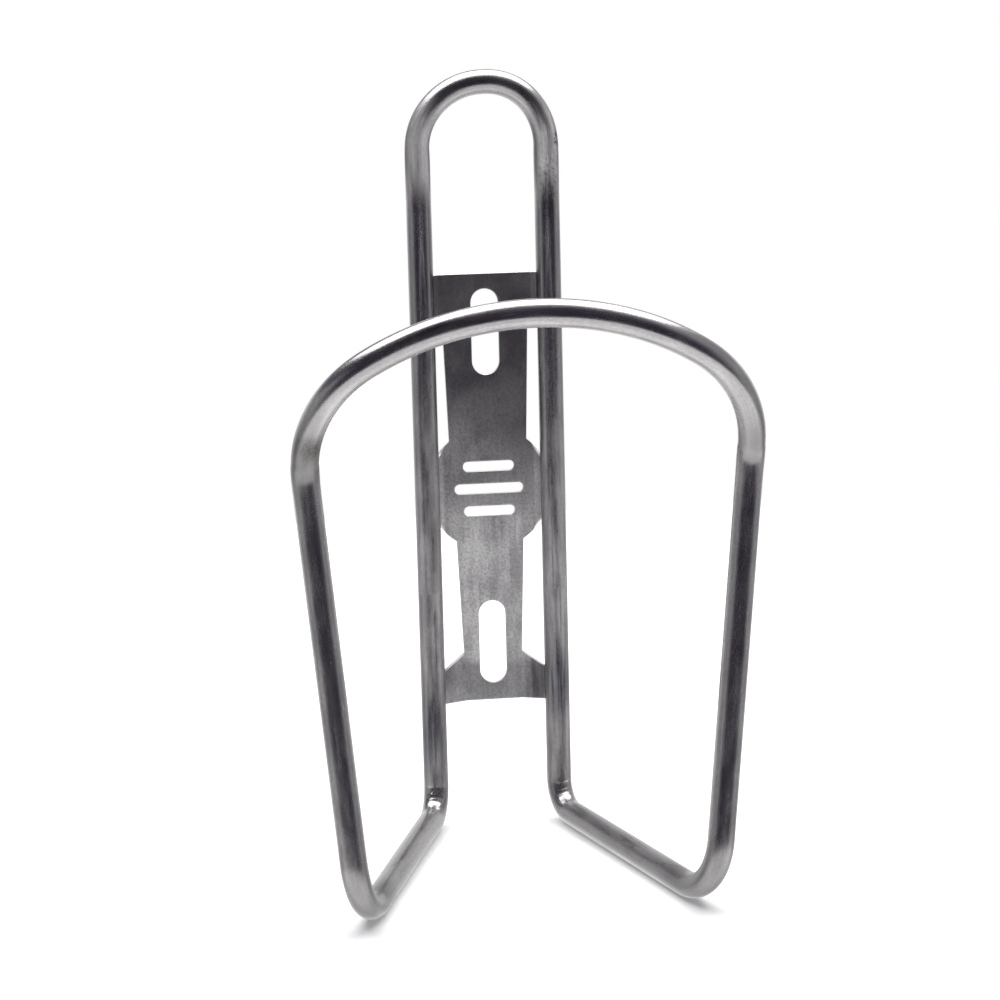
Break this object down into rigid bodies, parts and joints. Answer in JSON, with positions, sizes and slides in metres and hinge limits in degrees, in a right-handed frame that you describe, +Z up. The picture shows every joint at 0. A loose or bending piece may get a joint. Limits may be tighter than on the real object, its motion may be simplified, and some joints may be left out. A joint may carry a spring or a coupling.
{
  "type": "bicycle water bottle cage",
  "caption": "Open tube cage that holds a round drink bottle: a hairpin back, two legs, an arched front hoop and a slotted plate that bolts to a frame.",
  "frame": {"origin": "midway between the two bolt slots, on the back plate's rear mounting face", "axes": "+Z up along the bottle, +Y out of the mounting face toward the bicycle frame, +X to the cage's side; the open front faces -Y"},
  "size_m": [0.0844, 0.0836, 0.1537],
  "materials": {
    "tube": "satin, drawn lengthwise, pickled grey titanium",
    "plate": "satin rolled sheet with bright cut edges",
    "weld": "rippled bead, faint straw tint",
    "sleeve": "turned, hidden inside the tube"
  },
  "bodies": {
    "root": {"rear_hairpin_tube": "tube", "front_hoop_tube": "tube", "back_plate": "plate", "seam_sleeve_left": "sleeve", "seam_weld_left": "weld", "top_tab_weld_left": "weld", "disc_weld_left": "weld", "wing_weld_left": "weld", "seam_sleeve_right": "sleeve", "seam_weld_right": "weld", "top_tab_weld_right": "weld", "disc_weld_right": "weld", "wing_weld_right": "weld"}
  },
  "joints": []
}
